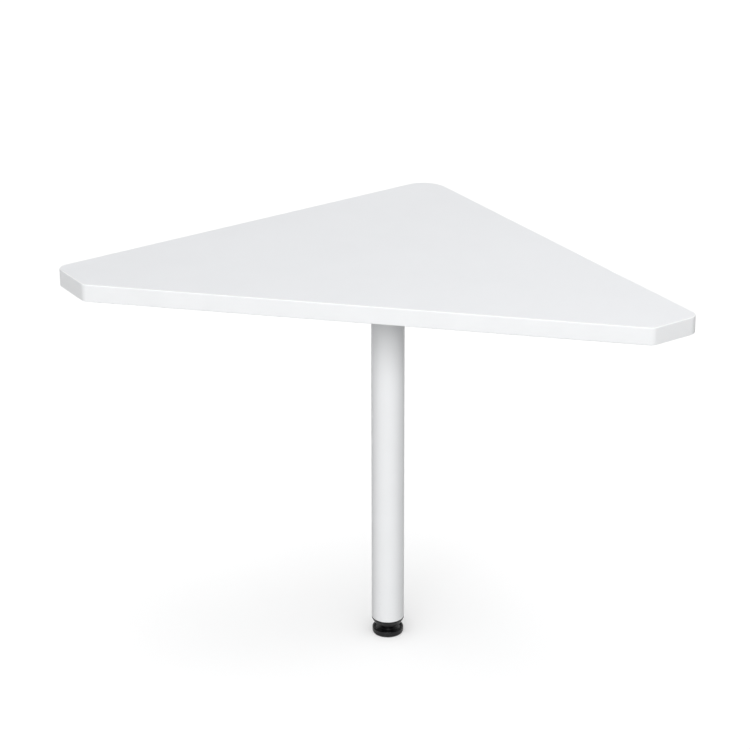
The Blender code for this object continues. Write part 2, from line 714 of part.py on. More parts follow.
def plate_mesh():
    """A flat steel plate with rounded corners, drawn down from its pivot hole's upper rim."""
    half = PLATE_WIDTH / 2.0
    radius = PLATE_CORNER_RADIUS
    near = -PLATE_END_DISTANCE
    far = near + PLATE_LENGTH
    quarter = math.pi / 2.0
    corners = (
        ((far - radius, half - radius), 0.0),
        ((near + radius, half - radius), quarter),
        ((near + radius, radius - half), 2.0 * quarter),
        ((far - radius, radius - half), 3.0 * quarter),
    )
    outline = []
    for centre, start in corners:
        outline.extend(arc(centre, radius, start, start + quarter, PLATE_CORNER_STEPS))
    plate = add("plate_blank", prism("plate_blank", outline, -PLATE_THICKNESS, 0.0))
    hole = SCREW_HOLE_DIAMETER / 2.0
    low = -PLATE_THICKNESS - OVERRUN
    profile = [(0.0, low), (hole, low), (hole, OVERRUN), (0.0, OVERRUN)]
    places = [(PLATE_HOLE_SPACING * index, 0.0, 0.0) for index in range(PLATE_HOLE_COUNT)]
    change(plate, bores("plate_hole_tool", places, profile))
    return shared_mesh(plate)


def washer_mesh():
    """A flat washer, drawn down from its upper face."""
    bore = SCREW_SHANK_RADIUS + GAP
    outer = WASHER_DIAMETER / 2.0
    low = -WASHER_THICKNESS
    return turned("plate_washer", [(bore, low), (outer, low), (outer, 0.0), (bore, 0.0)], SMALL_SEGMENTS)


def make_joining_plates(finish):
    """The joining plates, each parked along its side, with its pivot screw and washer."""
    plate = plate_mesh()
    screw = pan_screw_mesh()
    washer = washer_mesh()
    for index, ((x, y), heading) in enumerate(plate_places(), start=1):
        piece = add(f"joining_plate_{index}", plate, finish, (x, y, PLATE_TOP))
        piece.rotation_euler.z = heading
        add(f"plate_screw_{index}", screw, finish, (x, y, PLATE_SCREW_HEIGHT))
        add(f"plate_washer_{index}", washer, finish, (x, y, WASHER_TOP))


def make_foot(steel, moulded, rubber):
    """What goes up and down together when the foot is turned."""
    carrier = bpy.data.objects.new("foot_travel_axis", None)
    bpy.context.scene.collection.objects.link(carrier)
    make_stud(steel, carrier)
    make_foot_base(moulded, carrier)
    make_glide_pad(rubber, carrier)


def main():
    clear_scene()
    coated_board = surface("white_coated_board", (0.80, 0.81, 0.83), 0.42)
    white_band = surface("white_abs_band", (0.86, 0.87, 0.88), 0.38)
    white_powder = surface("white_powder_coat", (0.84, 0.85, 0.86), 0.40)
    cast_metal = surface("die_cast_aluminium", (0.62, 0.63, 0.64), 0.45, 1.0)
    zinc = surface("zinc_plated_steel", (0.70, 0.71, 0.72), 0.32, 1.0)
    dark_steel = surface("black_oxide_steel", (0.05, 0.05, 0.055), 0.45, 1.0)
    black_moulded = surface("black_polyamide", (0.015, 0.015, 0.016), 0.45)
    black_rubber = surface("black_rubber", (0.02, 0.02, 0.02), 0.75)
    make_board(coated_board)
    make_edge_band(white_band)
    make_flange(cast_metal)
    make_flange_screws(zinc)
    make_shoe(cast_metal)
    make_clamp_screw(dark_steel)
    make_tube(white_powder)
    make_insert(black_moulded)
    make_nut(zinc)
    make_foot(zinc, black_moulded, black_rubber)
    make_joining_plates(zinc)


main()
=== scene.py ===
"""Looks of the corner table: finishes, the stud's cut thread, the band's glue line, light and camera.

Metres, +Z up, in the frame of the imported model: the origin is on the floor under the leg's axis
and +X runs along the long front edge.
"""
import json
import math

import bmesh
import bpy
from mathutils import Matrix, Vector


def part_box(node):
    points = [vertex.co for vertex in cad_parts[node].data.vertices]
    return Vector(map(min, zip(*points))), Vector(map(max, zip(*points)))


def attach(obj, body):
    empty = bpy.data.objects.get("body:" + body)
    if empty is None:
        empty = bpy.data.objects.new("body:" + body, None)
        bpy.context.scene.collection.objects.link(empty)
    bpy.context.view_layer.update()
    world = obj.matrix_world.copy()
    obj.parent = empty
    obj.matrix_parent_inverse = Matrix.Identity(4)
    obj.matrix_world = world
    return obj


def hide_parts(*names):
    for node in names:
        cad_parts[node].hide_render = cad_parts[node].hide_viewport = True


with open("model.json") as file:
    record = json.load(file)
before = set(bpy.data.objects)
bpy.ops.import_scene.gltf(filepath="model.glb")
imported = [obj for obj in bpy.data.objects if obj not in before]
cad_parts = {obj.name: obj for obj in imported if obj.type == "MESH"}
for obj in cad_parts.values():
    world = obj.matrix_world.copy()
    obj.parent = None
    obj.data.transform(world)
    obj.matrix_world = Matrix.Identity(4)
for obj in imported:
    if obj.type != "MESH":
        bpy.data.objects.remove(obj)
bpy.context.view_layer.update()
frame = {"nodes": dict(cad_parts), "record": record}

# Top, as far as the glue line needs it
SIDE_LENGTH = 0.900
TIP_CUT = 0.100
REAR_RADIUS = 0.050
TIP_FRONT_RADIUS = 0.015
TIP_SIDE_RADIUS = 0.020
BAND_THICKNESS = 0.002
PIECE_GAP = 0.0003
GLUE_CLEARANCE = 0.00005
ARC_STEPS = 12

# Stud with its M10 thread; the crest and the root are flat over shares of the pitch
STUD_SEGMENTS = 72
THREAD_PITCH = 0.0015
THREAD_MAJOR_DIAMETER = 0.0098
THREAD_MINOR_DIAMETER = 0.0082
THREAD_CREST_SHARE = 0.125
THREAD_ROOT_SHARE = 0.25
THREAD_ROWS_PER_PITCH = 8
THREAD_UNDERCUT = 0.0012
THREAD_LENGTH = 0.045
STUD_CHAMFER = 0.001
HEAD_DIAMETER = 0.016
HEAD_HEIGHT = 0.0069
HEAD_FILLET = 0.0006
WAIST_DIAMETER = 0.011
COLLAR_WIDTH = 0.017
COLLAR_CHAMFER = 0.0009
CORNER_STEPS = 5

# Edges that meet more sharply than this stay sharp in the shading
STUD_SHARP_ANGLE = math.radians(28.0)
GLUE_SHARP_ANGLE = math.radians(35.0)
NODE_SHARP_ANGLE = math.radians(30.0)

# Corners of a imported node's triangles that lie this close are one point
NODE_MERGE_DISTANCE = 0.000001

# Where a noise value counts as its lowest and its highest
NOISE_LIMITS = (0.3, 0.7)

# The whole range between zero and one, and the same range turned round
WHOLE_RANGE = (0.0, 1.0)
FALLING_RANGE = (1.0, 0.0)

# How many finer layers a noise has, from a smooth noise to a ragged one
SMOOTH_DETAIL = 1.0
PLAIN_DETAIL = 2.0
FINE_DETAIL = 3.0
ROUGH_DETAIL = 4.0
RAGGED_DETAIL = 5.0

# A noise that is as long as it is wide and high
EVEN_STRETCH = (1.0, 1.0, 1.0)

# Specular level of a finish that gives none of its own
PLAIN_SPECULAR = 0.5

# Melamine film on the board, and the chipboard that shows in its drillings
FILM_COLOURS = ((0.775, 0.785, 0.802), (0.785, 0.795, 0.812))
FILM_ROUGHNESS = (0.40, 0.45)
FILM_CLOUD_SIZE = 0.090
FILM_WEAR_SIZE = 0.030
PEARL_SIZE = 0.0008
PEARL_DEPTH = 0.00002
CHIP_COLOURS = ((0.42, 0.30, 0.18), (0.70, 0.57, 0.40))
CHIP_SIZE = 0.0014
LEVEL_FACE_LIMITS = (0.45, 0.55)

# Edge band
BAND_COLOURS = ((0.85, 0.86, 0.87), (0.87, 0.88, 0.89))
BAND_ROUGHNESS = (0.32, 0.40)
BAND_CLOUD_SIZE = 0.060
BAND_LINE_SIZE = 0.0005
BAND_LINE_STRETCH = (160.0, 160.0, 1.0)
BAND_LINE_DEPTH = 0.000006
BAND_SKIN_SIZE = 0.0003
BAND_SKIN_DEPTH = 0.000003

# Powder coat of the leg, with scuffs between two heights above the floor
COAT_COLOURS = ((0.85, 0.86, 0.87), (0.87, 0.88, 0.89))
COAT_ROUGHNESS = (0.37, 0.43)
COAT_CLOUD_SIZE = 0.070
PEEL_SIZE = 0.0024
PEEL_DEPTH = 0.00005
COAT_GRAIN_SIZE = 0.00035
COAT_GRAIN_DEPTH = 0.000008
SCUFF_COLOUR = (0.62, 0.62, 0.61)
SCUFF_HEIGHTS = (0.035, 0.160)
SCUFF_SIZE = 0.005
SCUFF_STRETCH = (1.0, 1.0, 0.35)
SCUFF_LIMITS = (0.62, 0.72)
SCUFF_STRENGTH = 0.35

# Cast aluminium
CAST_COLOURS = ((0.56, 0.57, 0.58), (0.68, 0.69, 0.70))
CAST_ROUGHNESS = (0.40, 0.56)
CAST_FLOW_SIZE = 0.012
CAST_FLOW_STRETCH = (2.0, 0.7, 1.0)
CAST_FLOW_DEPTH = 0.00003
CAST_GRAIN_SIZE = 0.0004
CAST_GRAIN_DEPTH = 0.00003

# Zinc plating
ZINC_COLOURS = ((0.66, 0.70, 0.75), (0.75, 0.73, 0.67))
ZINC_ROUGHNESS = (0.26, 0.42)
ZINC_TINT_SIZE = 0.014
ZINC_SCRATCH_SIZE = 0.00025
ZINC_SCRATCH_STRETCH = (30.0, 1.0, 1.0)
ZINC_SCRATCH_DEPTH = 0.000003
ZINC_PIT_SIZE = 0.0006
ZINC_PIT_DEPTH = 0.000006

# Black oxide
OXIDE_COLOURS = ((0.045, 0.046, 0.052), (0.085, 0.075, 0.065))
OXIDE_ROUGHNESS = (0.38, 0.55)
OXIDE_PATCH_SIZE = 0.003
OXIDE_GRAIN_SIZE = 0.0003
OXIDE_GRAIN_DEPTH = 0.00001

# Black polyamide
POLYAMIDE_COLOURS = ((0.004, 0.004, 0.005), (0.008, 0.008, 0.009))
POLYAMIDE_ROUGHNESS = (0.30, 0.42)
POLYAMIDE_SPECULAR = 0.29
POLYAMIDE_HANDLING_SIZE = 0.009
POLYAMIDE_SPARK_SIZE = 0.00035
POLYAMIDE_SPARK_DEPTH = 0.000012

# Black rubber with dust
RUBBER_COLOURS = ((0.018, 0.018, 0.018), (0.045, 0.043, 0.040))
RUBBER_ROUGHNESS = (0.70, 0.85)
RUBBER_DUST_SIZE = 0.004
RUBBER_DUST_LIMITS = (0.5, 0.75)
RUBBER_PORE_SIZE = 0.0002
RUBBER_PORE_DEPTH = 0.00002

# Hot-melt glue
GLUE_COLOURS = ((0.75, 0.75, 0.74), (0.80, 0.80, 0.79))
GLUE_ROUGHNESS = (0.48, 0.60)
GLUE_PATCH_SIZE = 0.008
GLUE_GRAIN_SIZE = 0.0005
GLUE_GRAIN_DEPTH = 0.00001

# Camera, aimed at a point on the leg's middle plane; the shift is a share of the picture's width
CAMERA_TARGET = Vector((0.0, -0.019, 0.5))
CAMERA_DISTANCE = 5.0
CAMERA_AZIMUTH = math.radians(11.17)
CAMERA_ELEVATION = math.radians(24.53)
FOCAL_LENGTH_MM = 133.53
SENSOR_WIDTH_MM = 36.0
PICTURE_WIDTH_PX = 750
AXIS_RIGHT_PX = 10.87
AXIS_DOWN_PX = 17.16

# Stage, and the sky's strength as a light and as the backdrop that the camera sees,
# which fades from white to its full tone between two rises of the view, both just under the level
FLOOR_SIZE = 60.0
FLOOR_ALBEDO = 0.95
SKY_STRENGTH = 0.26
BACKDROP_STRENGTHS = (1.0, 0.72)
BACKDROP_RISES = (math.sin(math.radians(-1.0)), math.sin(math.radians(-0.5)))

# A distant light is a share of white, its azimuth counted from the front towards the right,
# its elevation and its width, the last three in degrees
TABLE_LIGHTS = {
    "front_light": (0.50, 14.0, 33.0, 26.0),
    "low_front_light": (0.22, -10.0, 8.0, 35.0),
    "back_light": (0.25, 172.0, 42.0, 45.0),
    "overhead_light": (0.225, 0.0, 90.0, 60.0),
}
# Light from behind on the upright pieces alone
REAR_LIGHTS = {
    "rear_light": (0.20, 180.0, -6.0, 8.0),
}
UPRIGHT_NODES = ("edge_band", "leg_tube")
# Lights of the floor: shaded by the whole table, shaded by its leg alone, and shaded by nothing
FLOOR_LIGHTS = {
    "floor_side_light": (0.084, 99.0, 72.0, 50.0),
    "floor_shade_light": (0.050, 180.0, 88.0, 38.0),
}
LEG_SHADE_LIGHTS = {
    "floor_high_light": (0.41, 0.0, 75.0, 50.0),
    "floor_low_light": (0.085, 0.0, 35.0, 35.0),
}
OPEN_FLOOR_LIGHTS = {
    "floor_wash_light": (0.297, 0.0, 90.0, 10.0),
}
LEG_NODES = ("leg_tube", "foot_insert", "foot_base", "glide_pad")

# A square lamp near the front of the top
NEAR_LIGHT_WATTS = 9.0
NEAR_LIGHT_SIZE = 1.0
NEAR_LIGHT_PLACE = Vector((0.45, -1.9, 1.9))
NEAR_LIGHT_TARGET = Vector((0.1, 0.0, 0.75))


def start_finish(name, colour, roughness, metallic=0.0, specular=PLAIN_SPECULAR):
    """A Principled material; returns it with its node tree and its shader."""
    finish = bpy.data.materials.new(name)
    finish.use_nodes = True
    finish.diffuse_color = (*colour, 1.0)
    tree = finish.node_tree
    shader = tree.nodes["Principled BSDF"]
    shader.inputs["Base Color"].default_value = (*colour, 1.0)
    shader.inputs["Roughness"].default_value = roughness
    shader.inputs["Metallic"].default_value = metallic
    shader.inputs["Specular IOR Level"].default_value = specular
    return finish, tree, shader


def noise(tree, size, stretch=EVEN_STRETCH, detail=PLAIN_DETAIL):
    """Noise on the piece's own coordinates: cells of a size in metres, longer where stretch is above one."""
    place = tree.nodes.new("ShaderNodeTexCoord")
    scaling = tree.nodes.new("ShaderNodeMapping")
    scaling.inputs["Scale"].default_value = [1.0 / (size * part) for part in stretch]
    texture = tree.nodes.new("ShaderNodeTexNoise")
    texture.inputs["Scale"].default_value = 1.0
    texture.inputs["Detail"].default_value = detail
    tree.links.new(place.outputs["Object"], scaling.inputs["Vector"])
    tree.links.new(scaling.outputs["Vector"], texture.inputs["Vector"])
    return texture.outputs["Fac"]


def spread(tree, value, results=WHOLE_RANGE, limits=NOISE_LIMITS):
    """A value, stretched so that its two limits become the two results, and held between them."""
    node = tree.nodes.new("ShaderNodeMapRange")
    node.inputs["From Min"].default_value, node.inputs["From Max"].default_value = limits
    node.inputs["To Min"].default_value, node.inputs["To Max"].default_value = results
    tree.links.new(value, node.inputs["Value"])
    return node.outputs["Result"]


def calculate(tree, operation, first, second=0.0):
    """A value or two put through an operation; the second may be a plain number."""
    node = tree.nodes.new("ShaderNodeMath")
    node.operation = operation
    tree.links.new(first, node.inputs[0])
    if isinstance(second, float):
        node.inputs[1].default_value = second
    else:
        tree.links.new(second, node.inputs[1])
    return node.outputs["Value"]


def blend_colours(tree, share, first, second):
    """A colour that goes from the first to the second as the share goes from zero to one."""
    node = tree.nodes.new("ShaderNodeMix")
    node.data_type = "RGBA"
    tree.links.new(share, node.inputs["Factor"])
    for socket, colour in ((node.inputs["A"], first), (node.inputs["B"], second)):
        if isinstance(colour, tuple):
            socket.default_value = (*colour, 1.0)
        else:
            tree.links.new(colour, socket)
    return node.outputs["Result"]


def mottle(tree, shader, colours, size, stretch=EVEN_STRETCH, detail=PLAIN_DETAIL, limits=NOISE_LIMITS):
    """Base colour that drifts between two tones in patches of a size; returns the patches from 0 to 1."""
    patches = spread(tree, noise(tree, size, stretch, detail), limits=limits)
    tree.links.new(blend_colours(tree, patches, *colours), shader.inputs["Base Color"])
    return patches


def uneven_gloss(tree, shader, pattern, roughness, limits=NOISE_LIMITS):
    """Roughness that follows a pattern between two values."""
    tree.links.new(spread(tree, pattern, roughness, limits), shader.inputs["Roughness"])


def relief(tree, shader, layers):
    """Bump from several layers of (height value, depth in metres), one on top of the other."""
    below = None
    for height, depth in layers:
        bump = tree.nodes.new("ShaderNodeBump")
        bump.inputs["Strength"].default_value = 1.0
        bump.inputs["Distance"].default_value = depth
        tree.links.new(height, bump.inputs["Height"])
        if below is not None:
            tree.links.new(below, bump.inputs["Normal"])
        below = bump.outputs["Normal"]
    tree.links.new(below, shader.inputs["Normal"])


def level_face(tree):
    """One on level faces and zero on upright ones."""
    geometry = tree.nodes.new("ShaderNodeNewGeometry")
    parts = tree.nodes.new("ShaderNodeSeparateXYZ")
    tree.links.new(geometry.outputs["True Normal"], parts.inputs["Vector"])
    steepness = calculate(tree, "ABSOLUTE", parts.outputs["Z"])
    return spread(tree, steepness, limits=LEVEL_FACE_LIMITS)


def height_in_piece(tree):
    """A point's height in the piece's own coordinates, in metres."""
    place = tree.nodes.new("ShaderNodeTexCoord")
    parts = tree.nodes.new("ShaderNodeSeparateXYZ")
    tree.links.new(place.outputs["Object"], parts.inputs["Vector"])
    return parts.outputs["Z"]


def coated_board():
    """White melamine film with a fine pearl texture; the cut edges and drillings show raw chipboard."""
    finish, tree, shader = start_finish("coated_board_finish", FILM_COLOURS[0], FILM_ROUGHNESS[0])
    film = blend_colours(tree, spread(tree, noise(tree, FILM_CLOUD_SIZE)), *FILM_COLOURS)
    chips = blend_colours(tree, spread(tree, noise(tree, CHIP_SIZE, detail=ROUGH_DETAIL)), *CHIP_COLOURS)
    tree.links.new(blend_colours(tree, level_face(tree), chips, film), shader.inputs["Base Color"])
    uneven_gloss(tree, shader, noise(tree, FILM_WEAR_SIZE, detail=ROUGH_DETAIL), FILM_ROUGHNESS)
    relief(tree, shader, [(noise(tree, PEARL_SIZE, detail=FINE_DETAIL), PEARL_DEPTH)])
    return finish


def white_band():
    """Satin ABS strip: faint drawing lines along it and a slightly polished look."""
    finish, tree, shader = start_finish("white_band_finish", BAND_COLOURS[0], BAND_ROUGHNESS[0])
    mottle(tree, shader, BAND_COLOURS, BAND_CLOUD_SIZE)
    lines = noise(tree, BAND_LINE_SIZE, BAND_LINE_STRETCH)
    uneven_gloss(tree, shader, lines, BAND_ROUGHNESS)
    relief(tree, shader, [(lines, BAND_LINE_DEPTH), (noise(tree, BAND_SKIN_SIZE), BAND_SKIN_DEPTH)])
    return finish


def white_powder_coat():
    """Satin white powder coat with orange peel and a few faint scuffs low on the leg."""
    finish, tree, shader = start_finish("white_powder_coat_finish", COAT_COLOURS[0], COAT_ROUGHNESS[0])
    coat = blend_colours(tree, spread(tree, noise(tree, COAT_CLOUD_SIZE)), *COAT_COLOURS)
    low = spread(tree, height_in_piece(tree), FALLING_RANGE, SCUFF_HEIGHTS)
    marks = spread(tree, noise(tree, SCUFF_SIZE, SCUFF_STRETCH, RAGGED_DETAIL), limits=SCUFF_LIMITS)
    scuffs = calculate(tree, "MULTIPLY", calculate(tree, "MULTIPLY", low, marks), SCUFF_STRENGTH)
    tree.links.new(blend_colours(tree, scuffs, coat, SCUFF_COLOUR), shader.inputs["Base Color"])
    peel = noise(tree, PEEL_SIZE, detail=SMOOTH_DETAIL)
    uneven_gloss(tree, shader, peel, COAT_ROUGHNESS)
    relief(tree, shader, [(peel, PEEL_DEPTH), (noise(tree, COAT_GRAIN_SIZE), COAT_GRAIN_DEPTH)])
    return finish


def cast_metal():
    """Die-cast aluminium as it leaves the mould: dull skin, flow marks and fine grain."""
    finish, tree, shader = start_finish("cast_metal_finish", CAST_COLOURS[0], CAST_ROUGHNESS[0], metallic=1.0)
    flow = mottle(tree, shader, CAST_COLOURS, CAST_FLOW_SIZE, CAST_FLOW_STRETCH, RAGGED_DETAIL)
    uneven_gloss(tree, shader, flow, CAST_ROUGHNESS, WHOLE_RANGE)
    grains = noise(tree, CAST_GRAIN_SIZE, detail=FINE_DETAIL)
    relief(tree, shader, [(flow, CAST_FLOW_DEPTH), (grains, CAST_GRAIN_DEPTH)])
    return finish


def zinc_plated_steel():
    """Bright zinc plating: a faint blue and yellow tint in patches and fine rubbed scratches."""
    finish, tree, shader = start_finish(
        "zinc_plated_finish", ZINC_COLOURS[0], ZINC_ROUGHNESS[0], metallic=1.0
    )
    mottle(tree, shader, ZINC_COLOURS, ZINC_TINT_SIZE, detail=FINE_DETAIL)
    rubbed = noise(tree, ZINC_SCRATCH_SIZE, ZINC_SCRATCH_STRETCH, FINE_DETAIL)
    uneven_gloss(tree, shader, rubbed, ZINC_ROUGHNESS)
    pits = noise(tree, ZINC_PIT_SIZE, detail=FINE_DETAIL)
    relief(tree, shader, [(rubbed, ZINC_SCRATCH_DEPTH), (pits, ZINC_PIT_DEPTH)])
    return finish


def black_oxide_steel():
    """Black oxide on steel, a little brown where it is thin."""
    finish, tree, shader = start_finish(
        "black_oxide_finish", OXIDE_COLOURS[0], OXIDE_ROUGHNESS[0], metallic=1.0
    )
    thin = mottle(tree, shader, OXIDE_COLOURS, OXIDE_PATCH_SIZE, detail=ROUGH_DETAIL)
    uneven_gloss(tree, shader, thin, OXIDE_ROUGHNESS, WHOLE_RANGE)
    relief(tree, shader, [(noise(tree, OXIDE_GRAIN_SIZE, detail=FINE_DETAIL), OXIDE_GRAIN_DEPTH)])
    return finish


def black_polyamide():
    """Black moulded polyamide with a fine spark texture and uneven gloss from handling."""
    finish, tree, shader = start_finish(
        "black_polyamide_finish", POLYAMIDE_COLOURS[0], POLYAMIDE_ROUGHNESS[0], specular=POLYAMIDE_SPECULAR
    )
    handling = mottle(tree, shader, POLYAMIDE_COLOURS, POLYAMIDE_HANDLING_SIZE, detail=ROUGH_DETAIL)
    uneven_gloss(tree, shader, handling, POLYAMIDE_ROUGHNESS, WHOLE_RANGE)
    relief(tree, shader, [(noise(tree, POLYAMIDE_SPARK_SIZE), POLYAMIDE_SPARK_DEPTH)])
    return finish


def black_rubber():
    """Matte black rubber with fine pores and a trace of dust."""
    finish, tree, shader = start_finish("black_rubber_finish", RUBBER_COLOURS[0], RUBBER_ROUGHNESS[0])
    dust = mottle(
        tree, shader, RUBBER_COLOURS, RUBBER_DUST_SIZE, detail=RAGGED_DETAIL, limits=RUBBER_DUST_LIMITS
    )
    uneven_gloss(tree, shader, dust, RUBBER_ROUGHNESS, WHOLE_RANGE)
    relief(tree, shader, [(noise(tree, RUBBER_PORE_SIZE, detail=FINE_DETAIL), RUBBER_PORE_DEPTH)])
    return finish


def glue_line():
    """Hardened white hot-melt glue, slightly grey and waxy."""
    finish, tree, shader = start_finish("glue_line_finish", GLUE_COLOURS[0], GLUE_ROUGHNESS[0])
    patches = mottle(tree, shader, GLUE_COLOURS, GLUE_PATCH_SIZE, detail=FINE_DETAIL)
    uneven_gloss(tree, shader, patches, GLUE_ROUGHNESS, WHOLE_RANGE)
    relief(tree, shader, [(noise(tree, GLUE_GRAIN_SIZE), GLUE_GRAIN_DEPTH)])
    return finish


def finish_nodes(finishes):
    """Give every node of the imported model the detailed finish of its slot."""
    for part in frame["record"]["subparts"]:
        node = frame["nodes"][part["node"]]
        for place in node.material_slots:
            place.material = finishes[part["material_slot"]]


def smooth_faces_tree():
    """Geometry nodes that join a mesh's loose triangles and shade it smooth up to its sharp edges."""
    tree = bpy.data.node_groups.new("smooth_faces", "GeometryNodeTree")
    for way in ("INPUT", "OUTPUT"):
        tree.interface.new_socket("Geometry", in_out=way, socket_type="NodeSocketGeometry")
    joined = tree.nodes.new("GeometryNodeMergeByDistance")
    joined.inputs["Distance"].default_value = NODE_MERGE_DISTANCE
    turn = tree.nodes.new("GeometryNodeInputMeshEdgeAngle")
    sharp = tree.nodes.new("FunctionNodeCompare")
    sharp.operation = "GREATER_THAN"
    sharp.inputs["B"].default_value = NODE_SHARP_ANGLE
    tree.links.new(turn.outputs["Unsigned Angle"], sharp.inputs["A"])
    shading = tree.nodes.new("GeometryNodeSetMeshNormal")
    shading.mode = "SHARPNESS"
    shading.inputs["Remove Custom"].default_value = True
    shading.inputs["Face Sharpness"].default_value = False
    tree.links.new(sharp.outputs["Result"], shading.inputs["Edge Sharpness"])
    start = tree.nodes.new("NodeGroupInput")
    end = tree.nodes.new("NodeGroupOutput")
    tree.links.new(start.outputs["Geometry"], joined.inputs["Geometry"])
    tree.links.new(joined.outputs["Geometry"], shading.inputs["Mesh"])
    tree.links.new(shading.outputs["Mesh"], end.inputs["Geometry"])
    return tree


def smooth_nodes():
    """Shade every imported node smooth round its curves, with its flat faces flat; its shape stays as it is."""
    tree = smooth_faces_tree()
    for node in frame["nodes"].values():
        node.modifiers.new("smooth_faces", "NODES").node_group = tree
        node.modifiers.new("weighted_normals", "WEIGHTED_NORMAL").keep_sharp = True


def add_piece(name, shape, finish, sharp_angle):
    """An object of its own from a bmesh, smooth where its faces meet gently."""
    bmesh.ops.recalc_face_normals(shape, faces=shape.faces)
    mesh = bpy.data.meshes.new(name)
    shape.to_mesh(mesh)
    shape.free()
    mesh.shade_smooth()
    mesh.set_sharp_from_angle(angle=sharp_angle)
    mesh.materials.append(finish)
    piece = bpy.data.objects.new(name, mesh)
    bpy.context.scene.collection.objects.link(piece)
    return piece


def hexagon_reach(turn, width):
    """How far a hexagon of a width across flats reaches from its middle in one direction."""
    sixth = math.pi / 3.0
    return width / 2.0 / math.cos(turn % sixth - sixth / 2.0)


def thread_reach(turn, height):
    """The thread's radius at a height above its run-out: a trapezium wave that climbs with the turn."""
    minor = THREAD_MINOR_DIAMETER / 2.0
    major = THREAD_MAJOR_DIAMETER / 2.0
    phase = (height / THREAD_PITCH - turn / math.tau) % 1.0
    from_crest = abs(phase - 0.5)
    flank_end = (1.0 - THREAD_ROOT_SHARE) / 2.0
    flank_start = THREAD_CREST_SHARE / 2.0
    rise = (flank_end - from_crest) / (flank_end - flank_start)
    return minor + (major - minor) * min(1.0, max(0.0, rise))


def round_row(height, radius):
    """A row of the stud where it is plainly round."""
    return (height, lambda turn: radius)


def rounded_edge(height, radius, start_turn, end_turn):
    """Rows of a fillet of the head: its centre's height and radius, and the two angles it runs between."""
    rows = []
    for step in range(CORNER_STEPS + 1):
        turn = start_turn + (end_turn - start_turn) * step / CORNER_STEPS
        rows.append(round_row(height + HEAD_FILLET * math.sin(turn), radius + HEAD_FILLET * math.cos(turn)))
    return rows


def collar_rows(bottom, top):
    """(height, reach) rows of the hexagon collar, its corners cut by a cone at both faces."""
    rows = []
    corner = hexagon_reach(0.0, COLLAR_WIDTH)
    steps = [COLLAR_CHAMFER * step / CORNER_STEPS for step in range(CORNER_STEPS + 1)]
    for rise in steps + [top - bottom - step for step in reversed(steps)]:
        cone = corner - COLLAR_CHAMFER + min(rise, top - bottom - rise)
        rows.append((bottom + rise, lambda turn, cone=cone: min(cone, hexagon_reach(turn, COLLAR_WIDTH))))
    return rows


def thread_rows(bottom):
    """Rows of the cut thread, with an undercut below it and a chamfer at its tip."""
    tip = bottom + THREAD_LENGTH
    minor = THREAD_MINOR_DIAMETER / 2.0
    major = THREAD_MAJOR_DIAMETER / 2.0
    start = bottom + THREAD_UNDERCUT
    rows = [round_row(bottom, minor), round_row(start, minor)]
    count = round((tip - start) / THREAD_PITCH * THREAD_ROWS_PER_PITCH)
    for index in range(1, count + 1):
        height = start + (tip - start) * index / count
        limit = min(major - max(0.0, STUD_CHAMFER - (tip - height)), minor + height - start)
        rows.append((height, lambda turn, height=height, limit=limit: min(limit, thread_reach(turn, height))))
    return rows


def stud_rows(seat):
    """All rows of the levelling stud from its head up: head, waist, collar and thread."""
    head = HEAD_DIAMETER / 2.0 - HEAD_FILLET
    waist = WAIST_DIAMETER / 2.0
    collar_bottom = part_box("foot_base")[1].z + PIECE_GAP
    collar_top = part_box("foot_insert")[0].z - PIECE_GAP
    rows = rounded_edge(seat + HEAD_FILLET, head, -math.pi / 2.0, 0.0)
    rows.extend(rounded_edge(seat + HEAD_HEIGHT - HEAD_FILLET, head, 0.0, math.pi / 2.0))
    rows.append(round_row(seat + HEAD_HEIGHT, waist))
    rows.append(round_row(collar_bottom, waist))
    rows.extend(collar_rows(collar_bottom, collar_top))
    rows.extend(thread_rows(collar_top))
    return rows


def threaded_stud(finish):
    """The levelling stud as one closed skin of round rows, its thread right-handed."""
    shape = bmesh.new()
    rings = []
    turns = [math.tau * index / STUD_SEGMENTS for index in range(STUD_SEGMENTS)]
    for height, reach in stud_rows(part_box("levelling_stud")[0].z):
        places = [(reach(turn) * math.cos(turn), reach(turn) * math.sin(turn), height) for turn in turns]
        rings.append([shape.verts.new(place) for place in places])
    for lower, upper in zip(rings, rings[1:]):
        for index in range(STUD_SEGMENTS):
            shape.faces.new((lower[index - 1], lower[index], upper[index], upper[index - 1]))
    shape.faces.new(rings[0])
    shape.faces.new(rings[-1])
    stud = add_piece("threaded_stud", shape, finish, STUD_SHARP_ANGLE)
    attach(stud, "stud")
    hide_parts("levelling_stud")


def outline_corners():
    """The top's corners anticlockwise from the left front, each with its rounding."""
    low_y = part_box("edge_band")[0].y
    reach = SIDE_LENGTH / math.sqrt(2.0)
    front = reach - TIP_CUT * math.sqrt(2.0)
    tip_x = reach - TIP_CUT / math.sqrt(2.0)
    tip_y = low_y + TIP_CUT / math.sqrt(2.0)
    return [
        ((-front, low_y), TIP_FRONT_RADIUS),
        ((front, low_y), TIP_FRONT_RADIUS),
        ((tip_x, tip_y), TIP_SIDE_RADIUS),
        ((0.0, low_y + reach), REAR_RADIUS),
        ((-tip_x, tip_y), TIP_SIDE_RADIUS),
    ]


